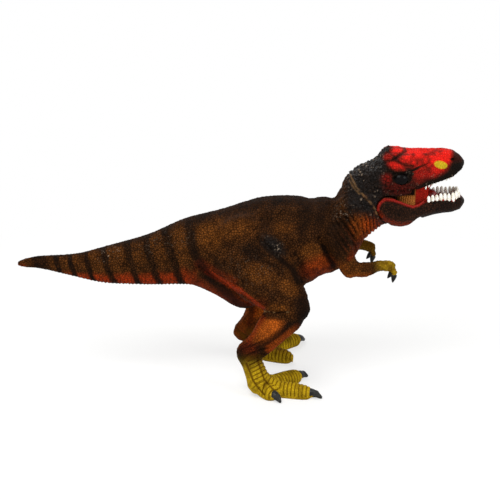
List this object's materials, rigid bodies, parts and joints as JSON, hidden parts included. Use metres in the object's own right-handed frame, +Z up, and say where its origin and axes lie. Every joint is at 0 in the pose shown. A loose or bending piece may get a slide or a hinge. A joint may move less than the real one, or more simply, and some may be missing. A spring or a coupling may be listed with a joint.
{
  "type": "toy tyrannosaur figure",
  "caption": "Toy tyrannosaur standing on its hind feet, with a hollow moulded body, painted scaly skin and a hinged lower jaw that opens and closes.",
  "frame": {"origin": "on the ground under the middle of the figure's outline, level with its soles", "axes": "+X towards the snout, +Y to the figure's left, +Z up"},
  "size_m": [0.274, 0.1034, 0.1475],
  "materials": {
    "body_skin": "hand-painted vinyl, dark brown with orange mottling and black stripes, satin",
    "leg_skin": "hand-painted vinyl, orange shank and olive-yellow scuted foot with dark grey claws, satin",
    "head_skin": "hand-painted vinyl, red face with dark speckle over a black scaly neck, satin",
    "jaw_skin": "hand-painted vinyl, dark brown with a red rim, satin",
    "teeth": "ivory white, semi-gloss",
    "tongue": "red, semi-gloss",
    "eyes": "black, gloss",
    "pin_steel": "plain drawn wire"
  },
  "bodies": {
    "figure": {"torso_right_shell": "body_skin", "torso_left_shell": "body_skin", "tail": "body_skin", "right_thigh": "body_skin", "left_thigh": "body_skin", "right_arm": "body_skin", "left_arm": "body_skin", "right_lower_leg": "leg_skin", "left_lower_leg": "leg_skin", "head": "head_skin", "upper_teeth": "teeth", "right_eye": "eyes", "left_eye": "eyes", "jaw_hinge_pin": "pin_steel"},
    "jaw": {"lower_jaw": "jaw_skin", "lower_teeth": "teeth", "tongue": "tongue"}
  },
  "joints": [
    {"name": "jaw_hinge", "type": "hinge", "parent": "figure", "child": "jaw", "pos_m": [0.09, -0.00668, 0.11398], "axis": [0, 1, 0], "range_deg": [-11, 5]}
  ]
}
